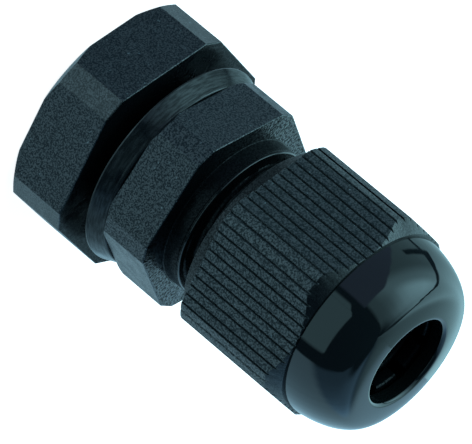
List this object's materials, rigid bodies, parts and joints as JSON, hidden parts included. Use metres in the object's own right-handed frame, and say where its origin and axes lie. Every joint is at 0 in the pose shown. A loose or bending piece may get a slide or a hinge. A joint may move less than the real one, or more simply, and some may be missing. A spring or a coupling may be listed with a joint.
{
  "type": "cable gland",
  "caption": "Plastic cable gland with lock nut and gasket: its domed nut clamps and seals a round cable where it enters a panel.",
  "frame": {"origin": "on the thread axis, in the plane where the body's hexagon seats on its gasket", "axes": "+Z along the cable, out through the domed sealing nut; +X is normal to a flat of the body's hexagon"},
  "size_m": [0.0204, 0.0208, 0.0328],
  "materials": {
    "body_nylon": "spark-eroded matte black nylon",
    "cap_nylon": "black nylon, satin ribs and polished dome",
    "claw_nylon": "matte black nylon",
    "insert_rubber": "matte black rubber",
    "gasket_rubber": "semi-matte black rubber with moulding flash",
    "nut_nylon": "spark-eroded matte black nylon"
  },
  "bodies": {
    "gland": {"gland_body": "body_nylon"},
    "clamp_set": {"clamping_claw": "claw_nylon", "sealing_insert": "insert_rubber"},
    "cap": {"sealing_nut": "cap_nylon"},
    "gasket": {"flat_gasket": "gasket_rubber"},
    "nut": {"lock_nut": "nut_nylon"}
  },
  "joints": [
    {"name": "clamp_travel", "type": "slide", "parent": "gland", "child": "clamp_set", "axis": [0, 0, 1], "range_m": [-0.00159, 0.00381]},
    {"name": "sealing_nut_turn", "type": "hinge", "parent": "clamp_set", "child": "cap", "pos_m": [0, 0, 0.016], "axis": [0, 0, 1], "range_deg": [-451, 1081]},
    {"name": "lock_nut_turn", "type": "hinge", "parent": "gland", "child": "gasket", "pos_m": [0, 0, -0.0008], "axis": [0, 0, 1], "range_deg": [-1081, 361]},
    {"name": "lock_nut_travel", "type": "slide", "parent": "gasket", "child": "nut", "axis": [0, 0, 1], "range_m": [-0.00381, 0.00127]}
  ],
  "couplings": [
    {"joint": "sealing_nut_turn", "follows": "clamp_travel", "rad_per_m": 4947.4},
    {"joint": "lock_nut_turn", "follows": "lock_nut_travel", "rad_per_m": 4947.4}
  ]
}
